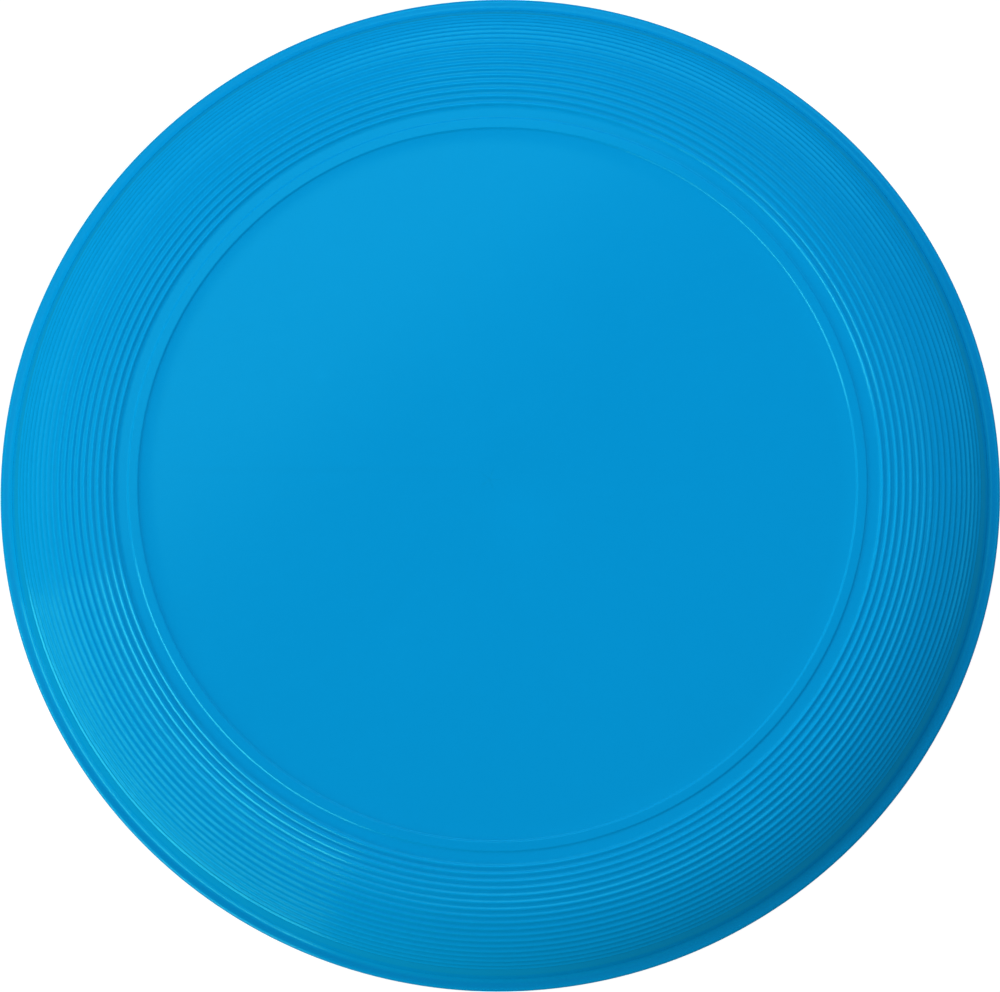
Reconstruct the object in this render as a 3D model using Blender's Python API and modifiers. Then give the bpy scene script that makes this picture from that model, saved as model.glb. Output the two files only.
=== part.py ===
"""A one-piece flying disc for the garden or the beach.

A thin flat plate turns down into a rounded, ribbed shoulder, and the shoulder ends in a narrow lip
that stands out all round the rim. The disc lies on its rim with the open side down: Z is its axis,
the lip's flat underside is at Z = 0, and the plate's upper face looks along +Z.

Run with: blender --background --python part.py
"""

import math

import bpy
import numpy as np

# Driving dimensions, in metres.
OUTER_RADIUS = 0.110
OVERALL_HEIGHT = 0.0185
WALL = 0.0017

# The raised ring round the plate.
RING_INNER_RADIUS = 0.0785
RING_WIDTH = 0.00305
RING_RISE = 0.0003
RING_SLOPE = 0.0006

# The shoulder is a quarter of an ellipse. It starts at this radius and reaches this far out.
SHOULDER_RADIUS = 0.0860
SHOULDER_REACH = 0.02148

# The lip round the rim, with a fully rounded edge.
LIP_THICKNESS = 0.0016
LIP_FILLET = 0.0012
RIM_CHAMFER = 0.0003

# The ribs that run round the shoulder. They get closer together and lower towards the lip, so that
# none of them undercuts the steep wall.
RIB_COUNT = 18
FIRST_RIB_RADIUS = 0.0844
FIRST_RIB_PITCH = 0.00161
LAST_RIB_PITCH = 0.00131
RIB_WIDTH = 0.00126
FIRST_RIB_RISE = 0.00035
LAST_RIB_RISE = 0.00022

# How finely the round shapes are cut into facets.
TURN_STEPS = 48
WALL_POINTS = 3
FILLET_POINTS = 5
LIP_POINTS = 7
UNDERSIDE_POINTS = 9
SMOOTH_ANGLE = math.radians(35)
MERGE_DISTANCE = 1e-6

# The moulding's colour, as linear RGB.
BLUE = (0.005, 0.301, 0.651, 1.0)
GLOSS_ROUGHNESS = 0.32

# Derived dimensions.
PLATE_TOP = OVERALL_HEIGHT - FIRST_RIB_RISE
LIP_MIDDLE = LIP_THICKNESS / 2
SHOULDER_DROP = PLATE_TOP - LIP_MIDDLE


def shoulder_curve():
    """Angle and running length along the shoulder's outer ellipse, from the plate to the lip's middle."""
    angles = np.linspace(0.0, math.pi / 2, 901)
    radii = SHOULDER_REACH * np.sin(angles)
    heights = SHOULDER_DROP * np.cos(angles)
    steps = np.hypot(np.diff(radii), np.diff(heights))
    return angles, np.concatenate([[0.0], np.cumsum(steps)])


ANGLES, LENGTHS = shoulder_curve()


def ellipse_point(angle, inset=0.0):
    """The shoulder's point at an angle from the axis, on its outer face or inset from it."""
    radius = SHOULDER_RADIUS + (SHOULDER_REACH - inset) * math.sin(angle)
    height = LIP_MIDDLE + (SHOULDER_DROP - inset) * math.cos(angle)
    return radius, height


def surface_point(distance, rise=0.0):
    """A point at a distance along the outer face past the start of the shoulder, raised off that face."""
    if distance <= 0.0:
        return SHOULDER_RADIUS + distance, PLATE_TOP + rise
    angle = float(np.interp(distance, LENGTHS, ANGLES))
    radius, height = ellipse_point(angle)
    out = math.sin(angle) / SHOULDER_REACH
    up = math.cos(angle) / SHOULDER_DROP
    length = math.hypot(out, up)
    return radius + rise * out / length, height + rise * up / length


def arc(centre_radius, centre_height, size, start_deg, end_deg, count):
    """Points on a round corner, both ends included. Angles are counted from +X towards +Z."""
    points = []
    for angle in np.linspace(math.radians(start_deg), math.radians(end_deg), count):
        radius = centre_radius + size * math.cos(angle)
        points.append((radius, centre_height + size * math.sin(angle)))
    return points


def ring_points():
    """The low raised ring, as a trapezoid on the plate."""
    outer_radius = RING_INNER_RADIUS + RING_WIDTH
    return [
        (RING_INNER_RADIUS, PLATE_TOP),
        (RING_INNER_RADIUS + RING_SLOPE, PLATE_TOP + RING_RISE),
        (outer_radius - RING_SLOPE, PLATE_TOP + RING_RISE),
        (outer_radius, PLATE_TOP),
    ]


def rib_distances():
    """Where each rib's crest lies, as a distance along the outer face past the start of the shoulder."""
    distance = FIRST_RIB_RADIUS - SHOULDER_RADIUS
    distances = [distance]
    for pitch in np.linspace(FIRST_RIB_PITCH, LAST_RIB_PITCH, RIB_COUNT - 1):
        distance += float(pitch)
        distances.append(distance)
    return distances


def rib_points():
    """Every rib's inner foot, crest and outer foot."""
    points = []
    rises = np.linspace(FIRST_RIB_RISE, LAST_RIB_RISE, RIB_COUNT)
    for distance, rise in zip(rib_distances(), rises):
        points.append(surface_point(distance - RIB_WIDTH / 2))
        points.append(surface_point(distance, float(rise)))
        points.append(surface_point(distance + RIB_WIDTH / 2))
    return points


def lip_points():
    """The plain wall below the last rib, the fillet under it, and the lip's rounded edge."""
    fillet_height = LIP_THICKNESS + LIP_FILLET
    fillet_angle = math.acos((fillet_height - LIP_MIDDLE) / SHOULDER_DROP)
    fillet_radius = ellipse_point(fillet_angle)[0] + LIP_FILLET
    last_rib_end = rib_distances()[-1] + RIB_WIDTH / 2
    wall_start = float(np.interp(last_rib_end, LENGTHS, ANGLES))
    wall = [ellipse_point(float(a)) for a in np.linspace(wall_start, fillet_angle, WALL_POINTS + 1)]
    fillet = arc(fillet_radius, fillet_height, LIP_FILLET, 180, 270, FILLET_POINTS)
    edge = arc(OUTER_RADIUS - LIP_MIDDLE, LIP_MIDDLE, LIP_MIDDLE, 90, -90, LIP_POINTS)
    return wall[1:-1] + fillet + edge


def underside_points():
    """The rim's flat land, its inner chamfer and the hollow's wall, up to the plate's lower face."""
    inner_radius = SHOULDER_RADIUS + SHOULDER_REACH - WALL
    points = [(inner_radius + RIM_CHAMFER, 0.0), (inner_radius, RIM_CHAMFER)]
    for angle in np.linspace(math.pi / 2, 0.0, UNDERSIDE_POINTS):
        points.append(ellipse_point(float(angle), WALL))
    return points


def disc_profile():
    """The whole section, from the axis on top, down the outer face, round the lip and back inside."""
    points = [(0.0, PLATE_TOP)]
    points += ring_points() + rib_points() + lip_points() + underside_points()
    points.append((0.0, PLATE_TOP - WALL))
    return points


def turned_object(name, points, collection):
    """Turns a section about Z with a Screw modifier."""
    vertices = [(radius, 0.0, height) for radius, height in points]
    edges = [(i, i + 1) for i in range(len(points) - 1)]
    mesh = bpy.data.meshes.new(name)
    mesh.from_pydata(vertices, edges, [])
    turned = bpy.data.objects.new(name, mesh)
    collection.objects.link(turned)
    screw = turned.modifiers.new("Turn", "SCREW")
    screw.axis = "Z"
    screw.steps = TURN_STEPS
    screw.render_steps = TURN_STEPS
    screw.use_merge_vertices = True
    screw.merge_threshold = MERGE_DISTANCE
    return turned


def shade_by_angle(turned):
    """Applies the turned shape and shades it smooth, apart from its sharp corners."""
    evaluated = turned.evaluated_get(bpy.context.evaluated_depsgraph_get())
    mesh = bpy.data.meshes.new_from_object(evaluated)
    turned.modifiers.clear()
    profile = turned.data
    turned.data = mesh
    bpy.data.meshes.remove(profile)
    mesh.name = turned.name
    mesh.shade_smooth()
    mesh.set_sharp_from_angle(angle=SMOOTH_ANGLE)


def blue_plastic():
    """Satin blue polypropylene."""
    material = bpy.data.materials.new("blue_plastic")
    material.use_nodes = True
    shader = material.node_tree.nodes["Principled BSDF"]
    shader.inputs["Base Color"].default_value = BLUE
    shader.inputs["Roughness"].default_value = GLOSS_ROUGHNESS
    shader.inputs["Metallic"].default_value = 0.0
    material.diffuse_color = BLUE
    return material


def build():
    for old in list(bpy.data.objects):
        bpy.data.objects.remove(old)
    collection = bpy.data.collections.new("flying_disc")
    bpy.context.scene.collection.children.link(collection)
    disc = turned_object("disc", disc_profile(), collection)
    shade_by_angle(disc)
    disc.data.materials.append(blue_plastic())


build()
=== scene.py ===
import math

import bpy
import numpy as np
from mathutils import Matrix, Vector

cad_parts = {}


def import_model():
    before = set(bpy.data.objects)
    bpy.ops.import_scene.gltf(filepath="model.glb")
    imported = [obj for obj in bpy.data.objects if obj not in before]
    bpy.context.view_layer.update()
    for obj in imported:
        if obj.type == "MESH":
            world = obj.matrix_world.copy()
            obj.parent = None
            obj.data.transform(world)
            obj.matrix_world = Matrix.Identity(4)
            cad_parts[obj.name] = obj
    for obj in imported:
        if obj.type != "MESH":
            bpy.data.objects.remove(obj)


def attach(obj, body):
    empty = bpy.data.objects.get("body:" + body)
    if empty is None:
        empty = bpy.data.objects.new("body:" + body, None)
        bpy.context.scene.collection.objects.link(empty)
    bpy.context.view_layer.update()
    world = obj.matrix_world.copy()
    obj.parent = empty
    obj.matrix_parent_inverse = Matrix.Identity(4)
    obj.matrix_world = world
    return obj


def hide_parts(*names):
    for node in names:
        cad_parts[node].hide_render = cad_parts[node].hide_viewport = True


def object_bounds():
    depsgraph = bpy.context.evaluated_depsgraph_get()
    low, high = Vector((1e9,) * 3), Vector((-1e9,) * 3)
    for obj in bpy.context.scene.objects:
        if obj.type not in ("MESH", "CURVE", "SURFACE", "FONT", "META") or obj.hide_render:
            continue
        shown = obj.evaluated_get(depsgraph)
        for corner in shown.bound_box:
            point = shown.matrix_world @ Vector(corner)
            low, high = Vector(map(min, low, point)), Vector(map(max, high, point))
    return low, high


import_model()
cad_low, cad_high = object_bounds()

# Overall sizes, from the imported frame.
OUTER_RADIUS = cad_high.x
OVERALL_HEIGHT = cad_high.z

# The section's driving dimensions, in metres, as in the CAD part.
WALL = 0.0017
RING_INNER_RADIUS = 0.0785
RING_WIDTH = 0.00305
RING_RISE = 0.0003
RING_INNER_SLOPE = 0.00056
RING_OUTER_SLOPE = 0.00072
SHOULDER_RADIUS = 0.0860
SHOULDER_REACH = 0.02148
LIP_THICKNESS = 0.0016
LIP_FILLET = 0.0012
RIM_CHAMFER = 0.0003
RIB_COUNT = 18
FIRST_RIB_RADIUS = 0.0844
FIRST_RIB_PITCH = 0.00161
LAST_RIB_PITCH = 0.00131
RIB_WIDTH = 0.00126
FIRST_RIB_RISE = 0.00035
LAST_RIB_RISE = 0.00022

# A shallow sink mark over the gate, at the plate's centre.
SINK_RADIUS = 0.009
SINK_DEPTH = 0.00004

# The moulding's colour as linear RGB, and its gloss.
PIGMENT = (0.0, 0.258, 0.625)
GLOSS_ROUGHNESS = 0.15

# Cloudiness of the pigment: cells to the metre, and share of the colour.
CLOUDS = ((14.0, 0.006), (45.0, 0.004), (160.0, 0.003))

# A look choice, not a known property of the plastic: painted light on the ribs' crests and painted shade in
# the grooves, because the relief and the lamps alone give less contrast than is wanted.
CREST_MEAN = 0.4
CREST_PAINTED_LIGHT = 0.11

# Soft lighter and darker patches on the plate: painted light below and painted shade above the sink mark at
# the plate's centre, and a small lighter spot. Each has its place to the frame's right and up from the axis,
# its size, and its share of the colour.
PLATE_PATCHES_AND_PAINTED_SHADE = (
    ((0.0060, -0.0080), 0.014, 0.022),
    ((0.0055, 0.0055), 0.012, -0.016),
    ((-0.0388, 0.0240), 0.003, 0.02),
)

# A faint dark line beside the gate, taken to be a weld line. It fades out towards its ends.
WELD_LINE = (-0.037, 0.0032)
WELD_SHADE = -0.012
WELD_FADE_START = 0.3
WELD_FADE_END = 0.5
WELD_LINE_LENGTH = 0.080
WELD_LINE_WIDTH = 0.0012

# The gate's scar.
GATE_PLACE = (-0.0016, 0.0010)
GATE_RADIUS = 0.0032
GATE_SCAR_RADIUS = 0.0008
GATE_RAYS = 5
GATE_RAY_SHARPNESS = 24.0
GATE_DEPTH = 0.000012
GATE_SHADE = -0.05
GATE_RAY_FADE = 0.3

# Faint streaks in the colour, where the plastic flowed out from the gate.
STREAK_SHADE = 0.004

# Unevenness of the gloss: from place to place, along the tool marks, and in the scratches.
PATCHY_GLOSS = 0.012
PATCHY_GLOSS_SCALE = 45.0
TOOL_MARK_GLOSS = 0.01
TOOL_MARK_GLOSS_SCALE = 0.8
SCRATCH_GLOSS = 0.08

# Relief too fine for the mesh, in metres, and its scale in cells to the metre.
WAVINESS = 0.000012
WAVINESS_SCALE = 22.0
ORANGE_PEEL = 0.0000012
ORANGE_PEEL_SCALE = 550.0
TOOL_MARK_DEPTH = 0.000002
TOOL_MARK_SCALE = 4000.0
FLOW_STRETCH = 10.0
FLOW_SCALE = 14.0
SCRATCH_STRETCH = 40.0
SCRATCH_SCALE = 9.0
SCRATCH_WIDTH = 0.004
SCRATCH_PATCH_SCALE = 24.0
SCRATCH_PATCH_LIMIT = 0.55
SCRATCH_PATCH_EDGE = 0.15
# Each set of scratches: its direction in degrees, and a shift that keeps the sets apart.
SCRATCH_SETS = ((20.0, 0.3), (-55.0, 0.7))
RING_MARGIN = 0.002
SCRATCH_DEPTH = 0.0000015

# How finely the visible surface is cut.
TURN_STEPS = 256
MERGE_DISTANCE = 1e-6
SINK_REACH = 1.5
SINK_POINTS = 16
PLATE_POINTS = 18
RING_POINTS = 50
BAND_POINTS = 4
RIB_STEP = 0.00013
WALL_POINTS = 8
FILLET_POINTS = 14
LIP_POINTS = 25
CHAMFER_POINTS = 6
HOLLOW_POINTS = 40
HOLLOW_TOP_POINTS = 12
ELLIPSE_SAMPLES = 2001
CREST_SAMPLES = 2001

PLATE_TOP = OVERALL_HEIGHT - FIRST_RIB_RISE
LIP_MIDDLE = LIP_THICKNESS / 2
SHOULDER_DROP = PLATE_TOP - LIP_MIDDLE

# The camera: how far it stands, how far it looks from straight down, and how it is turned about its own axis.
CAMERA_DISTANCE = 4.4
CAMERA_TILT = math.radians(7.57)
CAMERA_ROLL = math.radians(13.74)
SENSOR_WIDTH = 36.0

# The framing: the rim's half-width as a share of the frame's width, and how far the disc stands right of and
# above the frame's middle, in metres.
RIM_SHARE = 0.50007
DISC_RIGHT = 0.0000726
DISC_UP = 0.0000572

# The lamps' colour. A look choice: with hardly any red in the lamps, the blue's highlights stay blue.
LAMP_COLOUR = (0.06, 1.0, 1.0)
SIDE_LAMP_COLOUR = (0.10, 1.0, 0.72)
SKY_GLOW = 0.54
SKY_SLANT = 0.24
SKY_BRIGHT_SIDE = 228
GROUND_GLOW = 0.30
HORIZON_SOFTNESS = 0.03

FLOOR_HALF_WIDTH = 30.0
FLOOR_COLOUR = (0.22, 0.22, 0.22, 1.0)
FLOOR_GLOW = (1.0, 0.9, 0.9, 1.0)


def smooth_step(x):
    x = min(max(x, 0.0), 1.0)
    return x * x * (3.0 - 2.0 * x)


# ---- The section, finely ----

def shoulder_curve():
    angles = np.linspace(0.0, math.pi / 2, ELLIPSE_SAMPLES)
    radii = SHOULDER_REACH * np.sin(angles)
    heights = SHOULDER_DROP * np.cos(angles)
    steps = np.hypot(np.diff(radii), np.diff(heights))
    return angles, np.concatenate([[0.0], np.cumsum(steps)])


ANGLES, LENGTHS = shoulder_curve()


def ellipse_point(angle, inset=0.0):
    radius = SHOULDER_RADIUS + (SHOULDER_REACH - inset) * math.sin(angle)
    height = LIP_MIDDLE + (SHOULDER_DROP - inset) * math.cos(angle)
    return radius, height


def surface_point(distance, rise=0.0):
    if distance <= 0.0:
        return SHOULDER_RADIUS + distance, PLATE_TOP + rise
    angle = float(np.interp(distance, LENGTHS, ANGLES))
    radius, height = ellipse_point(angle)
    out = math.sin(angle) / SHOULDER_REACH
    up = math.cos(angle) / SHOULDER_DROP
    length = math.hypot(out, up)
    return radius + rise * out / length, height + rise * up / length


def arc(centre_radius, centre_height, size, start_deg, end_deg, count):
    points = []
    for angle in np.linspace(math.radians(start_deg), math.radians(end_deg), count):
        points.append((centre_radius + size * math.cos(angle), centre_height + size * math.sin(angle)))
    return points


def ring_rise(radius):
    """The raised ring round the plate: its outer slope is steep at the top and runs out in a hollow foot."""
    inner_slope = smooth_step((radius - RING_INNER_RADIUS) / RING_INNER_SLOPE)
    outer_slope = smooth_step((RING_INNER_RADIUS + RING_WIDTH - radius) / RING_OUTER_SLOPE)
    return RING_RISE * inner_slope * outer_slope ** 2


def rib_crests():
    """Where the crests lie, as distances along the outer face past the start of the shoulder."""
    steps = np.linspace(FIRST_RIB_PITCH, LAST_RIB_PITCH, RIB_COUNT - 1)
    return FIRST_RIB_RADIUS - SHOULDER_RADIUS + np.concatenate([[0.0], np.cumsum(steps)])


RIB_CRESTS = rib_crests()
RIB_RISES = np.linspace(FIRST_RIB_RISE, LAST_RIB_RISE, RIB_COUNT)
RIBS_START = RIB_CRESTS[0] - RIB_WIDTH / 2
RIBS_END = RIB_CRESTS[-1] + RIB_WIDTH / 2


def rib_share(distance):
    """How near this is to the crest of the nearest rib, a rounded bead: 1 on the crest, 0 between ribs."""
    off_crest = np.min(np.abs(RIB_CRESTS - distance)) / RIB_WIDTH
    return math.cos(math.pi * min(off_crest, 0.5)) ** 2


def rib_rise(distance):
    """How far the nearest rib stands off the shoulder here."""
    return rib_share(distance) * float(np.interp(distance, RIB_CRESTS, RIB_RISES))


def sink(radius):
    return -SINK_DEPTH * math.exp(-2.0 * (radius / SINK_RADIUS) ** 2)


def outer_face_points():
    """From the axis, over the plate, the ring and the ribs, to just past the last rib."""
    ring_start = RING_INNER_RADIUS
    ring_end = RING_INNER_RADIUS + RING_WIDTH
    ribs_start = SHOULDER_RADIUS + RIBS_START
    plate = np.concatenate([
        np.linspace(0.0, SINK_RADIUS * SINK_REACH, SINK_POINTS),
        np.linspace(SINK_RADIUS * SINK_REACH, ring_start, PLATE_POINTS)[1:],
        np.linspace(ring_start, ring_end, RING_POINTS)[1:],
        np.linspace(ring_end, ribs_start, BAND_POINTS)[1:-1],
    ])
    points = []
    for radius in plate:
        rise = ring_rise(float(radius)) + sink(float(radius))
        points.append((float(radius), PLATE_TOP + rise))
    count = int(round((RIBS_END - RIBS_START) / RIB_STEP))
    for distance in np.linspace(RIBS_START, RIBS_END, count):
        points.append(surface_point(float(distance), rib_rise(float(distance))))
    return points


def lip_points():
    fillet_height = LIP_THICKNESS + LIP_FILLET
    fillet_angle = math.acos((fillet_height - LIP_MIDDLE) / SHOULDER_DROP)
    fillet_radius = ellipse_point(fillet_angle)[0] + LIP_FILLET
    wall_start = float(np.interp(RIBS_END, LENGTHS, ANGLES))
    wall = [ellipse_point(float(a)) for a in np.linspace(wall_start, fillet_angle, WALL_POINTS)]
    fillet = arc(fillet_radius, fillet_height, LIP_FILLET, 180, 270, FILLET_POINTS)
    edge = arc(OUTER_RADIUS - LIP_MIDDLE, LIP_MIDDLE, LIP_MIDDLE, 90, -90, LIP_POINTS)
    return wall[1:-1] + fillet + edge


def underside_points():
    inner_radius = SHOULDER_RADIUS + SHOULDER_REACH - WALL
    points = arc(inner_radius + RIM_CHAMFER, RIM_CHAMFER, RIM_CHAMFER, 270, 180, CHAMFER_POINTS)
    for angle in np.linspace(math.pi / 2, 0.0, HOLLOW_POINTS):
        points.append(ellipse_point(float(angle), WALL))
    for radius in np.linspace(SHOULDER_RADIUS, 0.0, HOLLOW_TOP_POINTS)[1:]:
        points.append((float(radius), PLATE_TOP - WALL))
    return points


def disc_section():
    return outer_face_points() + lip_points() + underside_points()


def turned_mesh(name, section):
    mesh = bpy.data.meshes.new(name)
    vertices = [(radius, 0.0, height) for radius, height in section]
    mesh.from_pydata(vertices, [(i, i + 1) for i in range(len(section) - 1)], [])
    turned = bpy.data.objects.new(name, mesh)
    bpy.context.scene.collection.objects.link(turned)
    screw = turned.modifiers.new("Turn", "SCREW")
    screw.axis = "Z"
    screw.steps = TURN_STEPS
    screw.render_steps = TURN_STEPS
    screw.use_merge_vertices = True
    screw.merge_threshold = MERGE_DISTANCE
    evaluated = turned.evaluated_get(bpy.context.evaluated_depsgraph_get())
    turned.data = bpy.data.meshes.new_from_object(evaluated)
    turned.modifiers.clear()
    turned.data.name = name
    turned.data.shade_smooth()
    return turned


def mark_crests(mesh):
    """Stores on every point how near it is to a rib's crest, for the painted light on the crests and the
    painted shade in the grooves.
    """
    distances = np.linspace(RIBS_START, RIBS_END, CREST_SAMPLES)
    places = np.array([surface_point(float(d), rib_rise(float(d))) for d in distances])
    shares = np.array([rib_share(float(d)) for d in distances])
    points = np.empty(len(mesh.vertices) * 3)
    mesh.vertices.foreach_get("co", points)
    points = points.reshape(-1, 3)
    radii = np.hypot(points[:, 0], points[:, 1])
    off_face = np.abs(points[:, 2] - np.interp(radii, places[:, 0], places[:, 1]))
    on_ribs = (radii > places[0, 0]) & (radii < places[-1, 0]) & (off_face < WALL / 2)
    values = np.where(on_ribs, np.interp(radii, places[:, 0], shares), CREST_MEAN)
    attribute = mesh.attributes.new("crest", "FLOAT", "POINT")
    attribute.data.foreach_set("value", values.astype(np.float32))


# ---- Material ----

def image_axes():
    """The picture's right and up directions, laid on the floor, for a camera in front of the disc."""
    right = Vector((math.cos(CAMERA_ROLL), -math.sin(CAMERA_ROLL), 0.0))
    up = Vector((math.sin(CAMERA_ROLL), math.cos(CAMERA_ROLL), 0.0))
    return right, up


def is_socket(value):
    return isinstance(value, bpy.types.NodeSocket)


def fill(tree, sockets, values):
    """Links or sets the given sockets."""
    for socket, value in zip(sockets, values):
        if is_socket(value):
            tree.links.new(value, socket)
        else:
            socket.default_value = value


def maths(tree, operation, *values):
    node = tree.nodes.new("ShaderNodeMath")
    node.operation = operation
    fill(tree, node.inputs, values)
    return node.outputs[0]


def dot(tree, vector, direction):
    node = tree.nodes.new("ShaderNodeVectorMath")
    node.operation = "DOT_PRODUCT"
    fill(tree, node.inputs, (vector, direction))
    return node.outputs["Value"]


def noise(tree, vector, scale, detail=2.0, roughness=0.5):
    """Noise between about -1 and 1, `scale` cells to the metre."""
    node = tree.nodes.new("ShaderNodeTexNoise")
    tree.links.new(vector, node.inputs["Vector"])
    node.inputs["Scale"].default_value = scale
    node.inputs["Detail"].default_value = detail
    node.inputs["Roughness"].default_value = roughness
    return maths(tree, "MULTIPLY_ADD", node.outputs["Fac"], 4.0, -2.0)


def fade(tree, value, start, end):
    """1 at `start` and 0 at `end`, softly."""
    node = tree.nodes.new("ShaderNodeMapRange")
    node.interpolation_type = "SMOOTHSTEP"
    fill(tree, [node.inputs[0]], [value])
    node.inputs["From Min"].default_value = start
    node.inputs["From Max"].default_value = end
    node.inputs["To Min"].default_value = 1.0
    node.inputs["To Max"].default_value = 0.0
    return node.outputs[0]


def total(tree, terms):
    """The sum of (socket, weight) pairs."""
    result = 0.0
    for socket, weight in terms:
        result = maths(tree, "MULTIPLY_ADD", socket, weight, result)
    return result


def combined(tree, x, y, z):
    node = tree.nodes.new("ShaderNodeCombineXYZ")
    fill(tree, node.inputs, (x, y, z))
    return node.outputs[0]


def surface_coordinates(tree):
    """The place on the disc, its reach to the frame's right and up, its radius, and radius less height."""
    place = tree.nodes.new("ShaderNodeTexCoord").outputs["Object"]
    right, up = image_axes()
    across = dot(tree, place, right)
    along = dot(tree, place, up)
    radius = maths(tree, "SQRT", maths(tree, "ADD", maths(tree, "MULTIPLY", across, across),
                                       maths(tree, "MULTIPLY", along, along)))
    height = dot(tree, place, (0.0, 0.0, 1.0))
    down_the_section = maths(tree, "SUBTRACT", radius, height)
    return place, across, along, radius, down_the_section


def spot(tree, across, along, centre, size):
    """A soft round patch in the plate."""
    dx = maths(tree, "SUBTRACT", across, centre[0])
    dy = maths(tree, "SUBTRACT", along, centre[1])
    distance = maths(tree, "SQRT", maths(tree, "ADD", maths(tree, "MULTIPLY", dx, dx),
                                         maths(tree, "MULTIPLY", dy, dy)))
    return fade(tree, distance, 0.0, size)


def gate_star(tree, across, along):
    """The moulding's gate: a tiny scar with a few fine rays round it, near the plate's centre."""
    dx = maths(tree, "SUBTRACT", across, GATE_PLACE[0])
    dy = maths(tree, "SUBTRACT", along, GATE_PLACE[1])
    distance = maths(tree, "SQRT", maths(tree, "ADD", maths(tree, "MULTIPLY", dx, dx),
                                         maths(tree, "MULTIPLY", dy, dy)))
    angle = maths(tree, "ARCTAN2", dy, dx)
    ray = maths(tree, "POWER", maths(tree, "ABSOLUTE", maths(tree, "COSINE", maths(
        tree, "MULTIPLY", angle, GATE_RAYS / 2))), GATE_RAY_SHARPNESS)
    rays = maths(tree, "MULTIPLY", ray, fade(tree, distance, GATE_RADIUS * GATE_RAY_FADE, GATE_RADIUS))
    scar = fade(tree, distance, 0.0, GATE_SCAR_RADIUS)
    return maths(tree, "MAXIMUM", rays, scar)


def scratches(tree, place, direction_deg, offset):
    """A few hairline scratches, all running roughly one way: thin bands of stretched, bent noise."""
    turned = tree.nodes.new("ShaderNodeMapping")
    tree.links.new(place, turned.inputs["Vector"])
    turned.inputs["Location"].default_value = (offset, offset, 0.0)
    turned.inputs["Rotation"].default_value = (0.0, 0.0, math.radians(direction_deg))
    turned.inputs["Scale"].default_value = (1.0, SCRATCH_STRETCH, 1.0)
    bands = tree.nodes.new("ShaderNodeTexNoise")
    tree.links.new(turned.outputs[0], bands.inputs["Vector"])
    bands.inputs["Scale"].default_value = SCRATCH_SCALE
    bands.inputs["Detail"].default_value = 0.0
    off_line = maths(tree, "ABSOLUTE", maths(tree, "SUBTRACT", bands.outputs["Fac"], 0.5))
    line = fade(tree, off_line, 0.0, SCRATCH_WIDTH)
    patches = fade(tree, noise(tree, place, SCRATCH_PATCH_SCALE, 1.0),
                   SCRATCH_PATCH_LIMIT + SCRATCH_PATCH_EDGE, SCRATCH_PATCH_LIMIT)
    return maths(tree, "MULTIPLY", line, maths(tree, "SUBTRACT", 1.0, patches))


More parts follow.
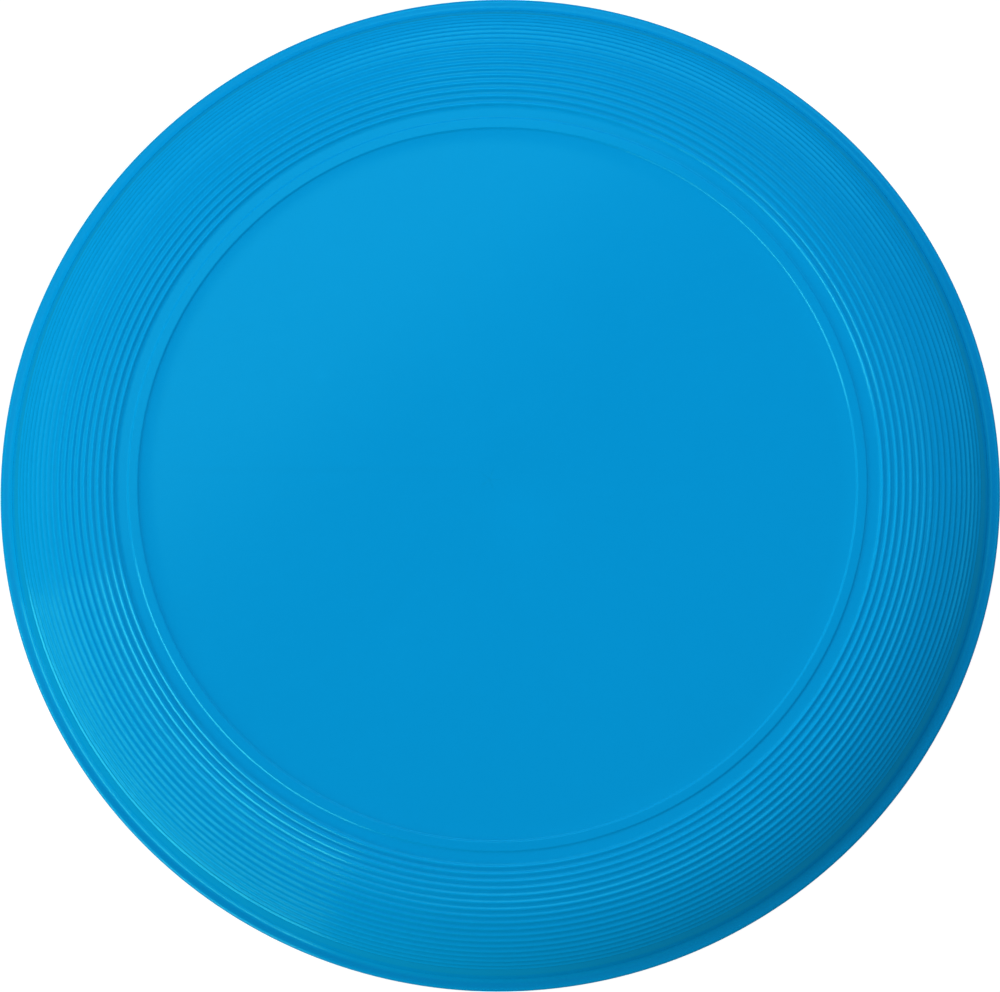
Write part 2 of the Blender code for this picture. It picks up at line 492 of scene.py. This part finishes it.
def blue_polypropylene():
    """Glossy pigmented polypropylene: cloudy colour, orange peel, tool marks and light wear, with painted
    light and shade on the ribs and beside the sink mark.
    """
    material = bpy.data.materials.new("blue_polypropylene")
    material.use_nodes = True
    tree = material.node_tree
    shader = tree.nodes["Principled BSDF"]
    place, across, along, radius, down = surface_coordinates(tree)
    flow = combined(tree, maths(tree, "DIVIDE", across, radius), maths(tree, "DIVIDE", along, radius),
                    maths(tree, "MULTIPLY", down, TOOL_MARK_SCALE))
    streaks = combined(tree, maths(tree, "DIVIDE", across, radius), maths(tree, "DIVIDE", along, radius),
                       maths(tree, "MULTIPLY", radius, FLOW_STRETCH))
    on_plate = fade(tree, radius, RING_INNER_RADIUS - RING_MARGIN, RING_INNER_RADIUS)
    off_plate = maths(tree, "SUBTRACT", 1.0, on_plate)

    clouds = [(noise(tree, place, scale, 2.0), share) for scale, share in CLOUDS]
    # Painted light and shade beside the sink mark, and a small lighter spot.
    marks = [(spot(tree, across, along, centre, size), share) for centre, size, share in PLATE_PATCHES_AND_PAINTED_SHADE]
    off_weld = maths(tree, "ABSOLUTE", maths(tree, "SUBTRACT", along, WELD_LINE[1]))
    along_weld = maths(tree, "ABSOLUTE", maths(tree, "SUBTRACT", across, WELD_LINE[0]))
    weld = maths(tree, "MULTIPLY", fade(tree, off_weld, 0.0, WELD_LINE_WIDTH),
                 fade(tree, along_weld, WELD_LINE_LENGTH * WELD_FADE_START, WELD_LINE_LENGTH * WELD_FADE_END))
    star = gate_star(tree, across, along)
    streak = maths(tree, "MULTIPLY", noise(tree, streaks, FLOW_SCALE, 3.0), on_plate)
    # The crest share gives painted light on the ribs' crests and painted shade in the grooves.
    crest = tree.nodes.new("ShaderNodeAttribute")
    crest.attribute_name = "crest"
    painted_rib_light = maths(tree, "SUBTRACT", crest.outputs["Fac"], CREST_MEAN)
    # The colour's own tone, plus the painted light and shade on the ribs and beside the sink mark.
    tone_and_painted_light = total(tree, clouds + marks + [
        (weld, WELD_SHADE),
        (star, GATE_SHADE),
        (streak, STREAK_SHADE),
        (painted_rib_light, CREST_PAINTED_LIGHT),
    ])
    colour = tree.nodes.new("ShaderNodeVectorMath")
    colour.operation = "SCALE"
    colour.inputs[0].default_value = PIGMENT
    tree.links.new(maths(tree, "ADD", tone_and_painted_light, 1.0), colour.inputs["Scale"])
    tree.links.new(colour.outputs[0], shader.inputs["Base Color"])

    wear = maths(tree, "MAXIMUM", *[scratches(tree, place, *one_set) for one_set in SCRATCH_SETS])
    roughness = total(tree, [
        (noise(tree, place, PATCHY_GLOSS_SCALE, 3.0), PATCHY_GLOSS),
        (noise(tree, flow, TOOL_MARK_GLOSS_SCALE, 2.0), TOOL_MARK_GLOSS),
        (wear, SCRATCH_GLOSS),
    ])
    tree.links.new(maths(tree, "ADD", roughness, GLOSS_ROUGHNESS), shader.inputs["Roughness"])

    tool_marks = maths(tree, "MULTIPLY", noise(tree, flow, 1.0, 2.0, 0.6), off_plate)
    relief = total(tree, [
        (noise(tree, place, WAVINESS_SCALE, 1.0), WAVINESS),
        (noise(tree, place, ORANGE_PEEL_SCALE, 2.0), ORANGE_PEEL),
        (tool_marks, TOOL_MARK_DEPTH),
        (star, -GATE_DEPTH),
        (wear, -SCRATCH_DEPTH),
    ])
    bump = tree.nodes.new("ShaderNodeBump")
    bump.inputs["Strength"].default_value = 1.0
    bump.inputs["Distance"].default_value = 1.0
    tree.links.new(relief, bump.inputs["Height"])
    tree.links.new(bump.outputs[0], shader.inputs["Normal"])
    return material


# ---- Floor, lights and camera ----

def studio_direction(azimuth_deg, zenith_deg):
    """From the disc towards a light. Azimuth is counted clockwise from the picture's right."""
    right, up = image_axes()
    azimuth, zenith = math.radians(azimuth_deg), math.radians(zenith_deg)
    level = right * math.cos(azimuth) - up * math.sin(azimuth)
    return level * math.sin(zenith) + Vector((0, 0, 1)) * math.cos(zenith)


def softbox(name, azimuth_deg, zenith_deg, distance, width, height, radiance, colour=LAMP_COLOUR):
    data = bpy.data.lights.new(name, "AREA")
    data.shape = "RECTANGLE"
    data.size = width
    data.size_y = height
    data.energy = radiance * math.pi * width * height
    data.color = colour
    light = bpy.data.objects.new(name, data)
    bpy.context.scene.collection.objects.link(light)
    direction = studio_direction(azimuth_deg, zenith_deg)
    light.location = direction * distance
    light.rotation_mode = "QUATERNION"
    light.rotation_quaternion = direction.to_track_quat("Z", "Y")
    light.visible_camera = False
    return light


def floor():
    """A pale floor that only the camera sees: it neither lights the disc nor shows in it."""
    mesh = bpy.data.meshes.new("floor")
    half = FLOOR_HALF_WIDTH
    corners = [(-half, -half, 0), (half, -half, 0), (half, half, 0), (-half, half, 0)]
    mesh.from_pydata(corners, [], [(0, 1, 2, 3)])
    plane = bpy.data.objects.new("floor", mesh)
    bpy.context.scene.collection.objects.link(plane)
    material = bpy.data.materials.new("pale_floor")
    material.use_nodes = True
    shader = material.node_tree.nodes["Principled BSDF"]
    shader.inputs["Base Color"].default_value = FLOOR_COLOUR
    shader.inputs["Roughness"].default_value = 0.9
    shader.inputs["Specular IOR Level"].default_value = 0.0
    shader.inputs["Emission Color"].default_value = FLOOR_GLOW
    shader.inputs["Emission Strength"].default_value = 1.0
    mesh.materials.append(material)
    plane.visible_glossy = False
    plane.visible_diffuse = False


def camera():
    """A long lens from nearly overhead, a little towards the front, aimed so that the rim fills the frame."""
    data = bpy.data.cameras.new("camera")
    data.sensor_width = SENSOR_WIDTH
    cos_tilt, sin_tilt = math.cos(CAMERA_TILT), math.sin(CAMERA_TILT)
    spread = math.sqrt(CAMERA_DISTANCE ** 2 - (OUTER_RADIUS * sin_tilt) ** 2)
    data.lens = RIM_SHARE * spread / OUTER_RADIUS * SENSOR_WIDTH
    data.clip_start, data.clip_end = 0.1, 100.0
    cam = bpy.data.objects.new("camera", data)
    bpy.context.scene.collection.objects.link(cam)
    back = Vector((0.0, -sin_tilt, cos_tilt))
    up = Vector((0.0, cos_tilt, sin_tilt))
    right = Vector((1.0, 0.0, 0.0))
    rolled_right = right * math.cos(CAMERA_ROLL) - up * math.sin(CAMERA_ROLL)
    rolled_up = right * math.sin(CAMERA_ROLL) + up * math.cos(CAMERA_ROLL)
    near_bulge = OUTER_RADIUS ** 2 * cos_tilt * sin_tilt / CAMERA_DISTANCE
    aim = Vector((0.0, 0.0, LIP_MIDDLE)) - up * near_bulge
    aim -= rolled_right * DISC_RIGHT + rolled_up * DISC_UP
    cam.matrix_world = Matrix.Translation(aim + back * CAMERA_DISTANCE) @ Matrix(
        (rolled_right, rolled_up, back)).transposed().to_4x4()
    bpy.context.scene.camera = cam


def world():
    """Dim surroundings, a little brighter on one side, and dimmer below the horizon."""
    surroundings = bpy.data.worlds.new("studio")
    bpy.context.scene.world = surroundings
    surroundings.use_nodes = True
    tree = surroundings.node_tree
    background = tree.nodes["Background"]
    background.inputs["Color"].default_value = (*LAMP_COLOUR, 1.0)
    direction = tree.nodes.new("ShaderNodeTexCoord").outputs["Generated"]
    slant = dot(tree, direction, studio_direction(SKY_BRIGHT_SIDE, 90))
    sky = maths(tree, "MULTIPLY_ADD", slant, SKY_SLANT, SKY_GLOW)
    above = fade(tree, dot(tree, direction, (0.0, 0.0, 1.0)), HORIZON_SOFTNESS, -HORIZON_SOFTNESS)
    over_ground = maths(tree, "SUBTRACT", sky, GROUND_GLOW)
    strength = maths(tree, "MULTIPLY_ADD", over_ground, above, GROUND_GLOW)
    tree.links.new(strength, background.inputs["Strength"])


bpy.context.scene.view_settings.view_transform = "Standard"
camera()
world()
floor()

# Each lamp's name, azimuth and zenith angle in degrees, distance, width and height in metres, and radiance.
softbox("overhead_softbox", 230, 25, 0.5, 0.46, 0.25, 1.0)
softbox("left_softbox", 185, 40, 1.1, 0.6, 0.7, 0.5)
softbox("top_softbox", 285, 42, 0.5, 0.38, 0.3, 1.35)
softbox("side_softbox", 145, 74, 1.2, 1.3, 0.3, 8.4, SIDE_LAMP_COLOUR)
softbox("right_softbox", 350, 50, 1.1, 0.6, 0.5, 0.9)
back = softbox("back_softbox", 280, 66, 1.2, 1.1, 0.4, 1.3)
# The disc doesn't mirror the back lamp; it only adds soft light.
back.visible_glossy = False

disc = turned_mesh("disc_surface", disc_section())
# The crest share drives the painted light and shade on the ribs.
mark_crests(disc.data)
disc.data.materials.append(blue_polypropylene())
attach(disc, "root")
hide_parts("disc")
